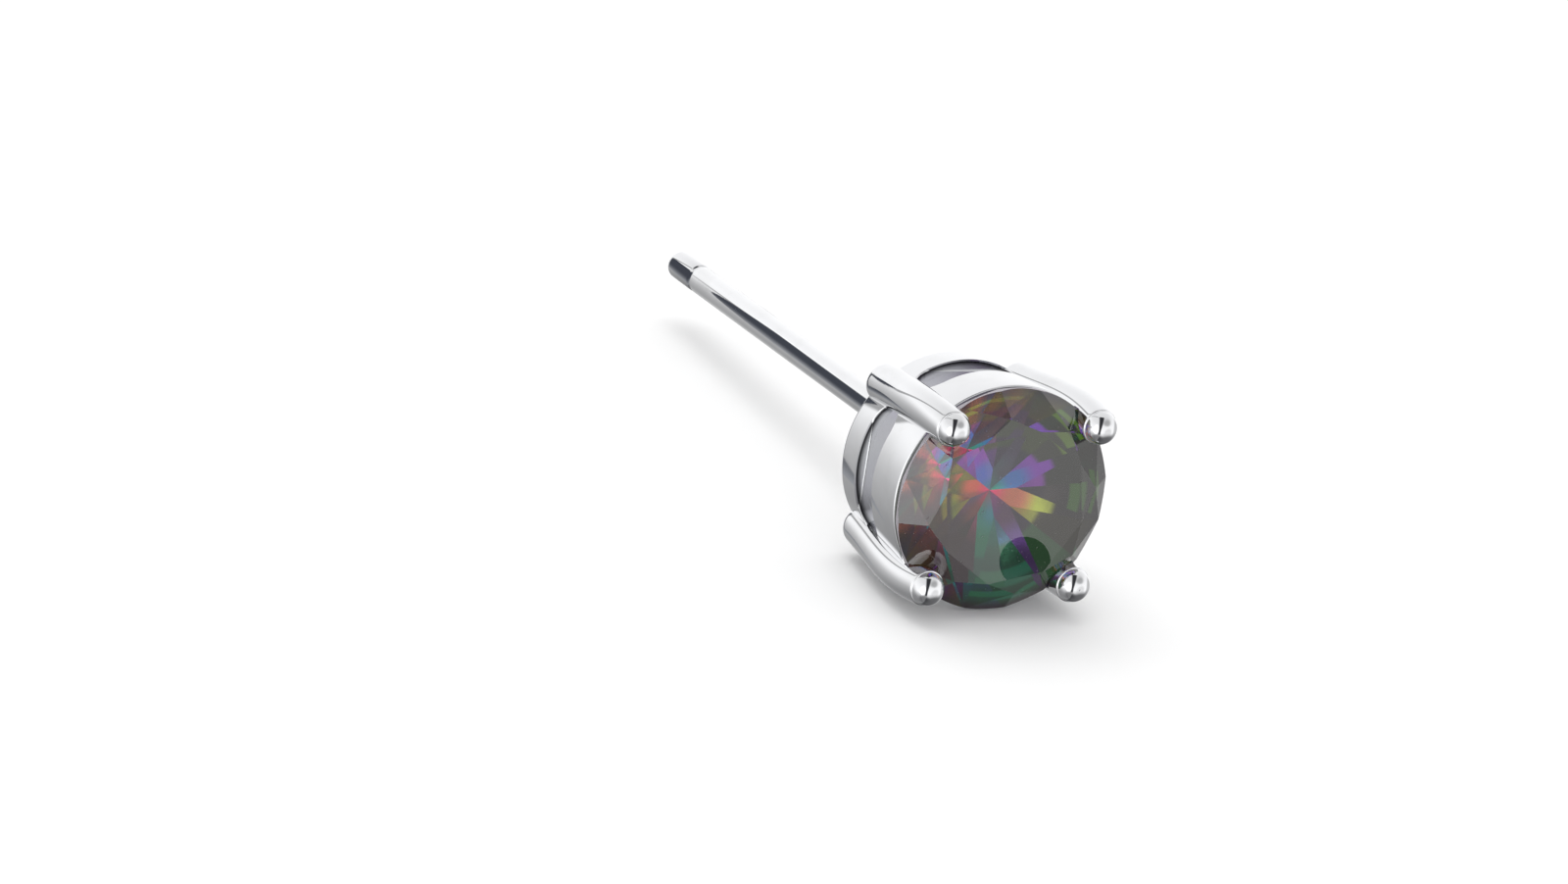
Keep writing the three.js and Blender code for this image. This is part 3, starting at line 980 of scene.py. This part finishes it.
def patch(azimuth, height, width, tall, depth, edge):
    """A soft oval, dark or with a negative depth bright; its place and size are in degrees."""
    u = maths(sky, "DIVIDE", along(azimuth + 90), sine(width / 2))
    v = maths(sky, "DIVIDE", maths(sky, "SUBTRACT", rise, sine(height)), sine(tall / 2))
    reach = maths(sky, "SQRT", maths(sky, "MULTIPLY_ADD", u, u, times(sky, v, v)))
    return times(sky, rising(sky, reach, 1 + edge, 1 - edge), ahead(azimuth), depth)


# %% [markdown]
# The gap, the seam and the soft ovals below were found by working dark and bright places in the
# photograph back to the direction that the surface there mirrors. The last three ovals are what the
# stone's table and the upper and lower facets of its crown mirror, and the metal hardly shows them.
# Between them the panels are brightest near the horizon and fall off below, where the table's own
# shade begins.

# %% Paint the surround
PATCHES = (  # azimuth, height, width, tall, depth, edge
    (-38, -50, 46, 30, 0.6, 0.5),
    (98, -10, 46, 46, 0.5, 0.4),
    (-54, 0, 34, 60, -0.5, 0.3),
    (-152, -34, 100, 64, 0.52, 0.5),
    (29, -14, 50, 50, 0.26, 0.4),
    (32, 42, 52, 28, 0.5, 0.5),
    (70, -62, 110, 50, 0.75, 0.4),
)
PANEL_LIGHT = (  # from straight down at 0 to straight up at 1
    (0.0, 0.4), (0.15, 0.5), (0.27, 0.8), (0.38, 1.08), (0.62, 1.0), (0.75, 0.9), (0.85, 0.8),
    (1.0, 0.75),
)
GAP_LIGHT = (0.012, 0.013, 0.017)  # even the gap isn't quite black
WHITE = (1, 1, 1, 1)

masks = [gap(azimuth=-27, width=14, low=-32, low_soft=8, depth=0.97, spread=1, edge=0.35),
         seam(square=(-0.922, -0.305, -0.241), width=4.5, depth=0.62)]
masks += [patch(*sizes) for sizes in PATCHES]
left_light = 1.0
for mask in masks:
    left_light = maths(sky, "MULTIPLY", left_light, maths(sky, "SUBTRACT", 1.0, mask))
fall = sky.nodes.new("ShaderNodeValToRGB")
put(sky, fall.inputs["Fac"], maths(sky, "MULTIPLY_ADD", rise, 0.5, 0.5))
while len(fall.color_ramp.elements) < len(PANEL_LIGHT):
    fall.color_ramp.elements.new(0.5)
for element, (where, light) in zip(fall.color_ramp.elements, PANEL_LIGHT):
    element.position = where
    element.color = (light, light, light, 1)
lit = vectors(sky, "MULTIPLY", fall.outputs["Color"], left_light)
panels = vectors(sky, "ADD", lit, GAP_LIGHT)
rays = sky.nodes.new("ShaderNodeLightPath").outputs
plain = maths(sky, "MAXIMUM", rays["Is Camera Ray"], rays["Is Diffuse Ray"])
put(sky, sky.nodes["Background"].inputs["Color"], mixed(sky, plain, panels, WHITE))
print("studio:", len(sky.nodes), "nodes")

# %% [markdown]
# Two dark cards stand close to the stud, where only mirror rays see them. The long one beside the
# post draws the broad dark band that shows how round the post is, and is too close to reach the
# head. The small round one takes the glare off the lower part of the stone's table, so the coating
# shows there.

# %% Stand the dark cards close to the stud
CARD_SIDE = -0.005  # the long card's X, in metres
CARD_ENDS = (0.0032, 0.019)  # its near and far ends
CARD_RISE = (-0.006, 0.0052)  # its foot and top
CARD_FADE = (0.0008, -0.0055)  # dark above the first height, paler below the second
SPOT_PLACE = Vector((0.0025, -0.01134, 0.00032))
SPOT_AIM = Vector((0.50, -0.83, -0.24))  # the way that the stone's table mirrors the camera
SPOT_RADIUS = 0.00056
SPOT_FADE = (0.0005, -0.0006)
SPOT_SIDES = 48
CARD_DARK, CARD_PALE = (0.055, 0.06, 0.075, 1), (0.30, 0.31, 0.33, 1)


def dark_card(name, corners, fade, square_on=False):
    """A flat card that mirror rays alone see, or of these only the ones square to it."""
    card = skinned(name, corners, [tuple(range(len(corners)))])
    shade, tree, socket = new_material(name)
    level = tree.nodes.new("ShaderNodeSeparateXYZ")
    put(tree, level.inputs[0], object_place(tree))
    faded = rising(tree, level.outputs["Z"], *fade)
    put(tree, socket["Emission Color"], mixed(tree, faded, CARD_DARK, CARD_PALE))
    socket["Emission Strength"].default_value = 1
    socket["Base Color"].default_value = (0, 0, 0, 1)
    socket["Specular IOR Level"].default_value = 0
    if square_on:
        facing = tree.nodes.new("ShaderNodeLayerWeight").outputs["Facing"]
        put(tree, socket["Alpha"], rising(tree, facing, 0.03, 0.01))
    card.data.materials.append(shade)
    for ray in ("camera", "diffuse", "transmission", "volume_scatter", "shadow"):
        setattr(card, "visible_" + ray, False)


(near, far), (foot, top) = CARD_ENDS, CARD_RISE
oblong = [(CARD_SIDE, y, z) for y, z in ((near, foot), (far, foot), (far, top), (near, top))]
dark_card("post_card", oblong, CARD_FADE)
spot_side = SPOT_AIM.cross(Vector((0, 0, 1))).normalized()
spot_up = spot_side.cross(SPOT_AIM).normalized()
spot_turns = [math.tau * k / SPOT_SIDES for k in range(SPOT_SIDES)]
disc = [SPOT_PLACE + SPOT_RADIUS * (math.cos(turn) * spot_side + math.sin(turn) * spot_up)
        for turn in spot_turns]
dark_card("table_card", disc, SPOT_FADE, square_on=True)
print("dark cards:", round((far - near) / MM, 1), "mm long and", round(2 * SPOT_RADIUS / MM, 2),
      "mm across")

# %% [markdown]
# ## The lamp
#
# One large soft lamp above and behind gives the table its light and the soft grey shadow under the
# head. It is kept out of reflections too: the panels already stand for it there.

# %% Hang the lamp and keep plain colours
LAMP_PLACE = Vector((-0.05, 0.12, 0.40))
LAMP_SIZE = 0.3
LAMP_LIGHT = 2.0  # its brightness: watts from each square metre, divided by pi

lamp_data = bpy.data.lights.new("top_lamp", "AREA")
lamp_data.shape = "SQUARE"
lamp_data.size = LAMP_SIZE
lamp_data.energy = LAMP_LIGHT * math.pi * LAMP_SIZE ** 2
lamp = placed("top_lamp", lamp_data)
lamp.location = LAMP_PLACE
lamp.rotation_mode = "QUATERNION"
lamp.rotation_quaternion = (-LAMP_PLACE).to_track_quat("-Z", "Y")
lamp.visible_glossy = False
bpy.context.scene.view_settings.view_transform = "Standard"
print("lamp:", round(lamp_data.energy, 3), "watts")
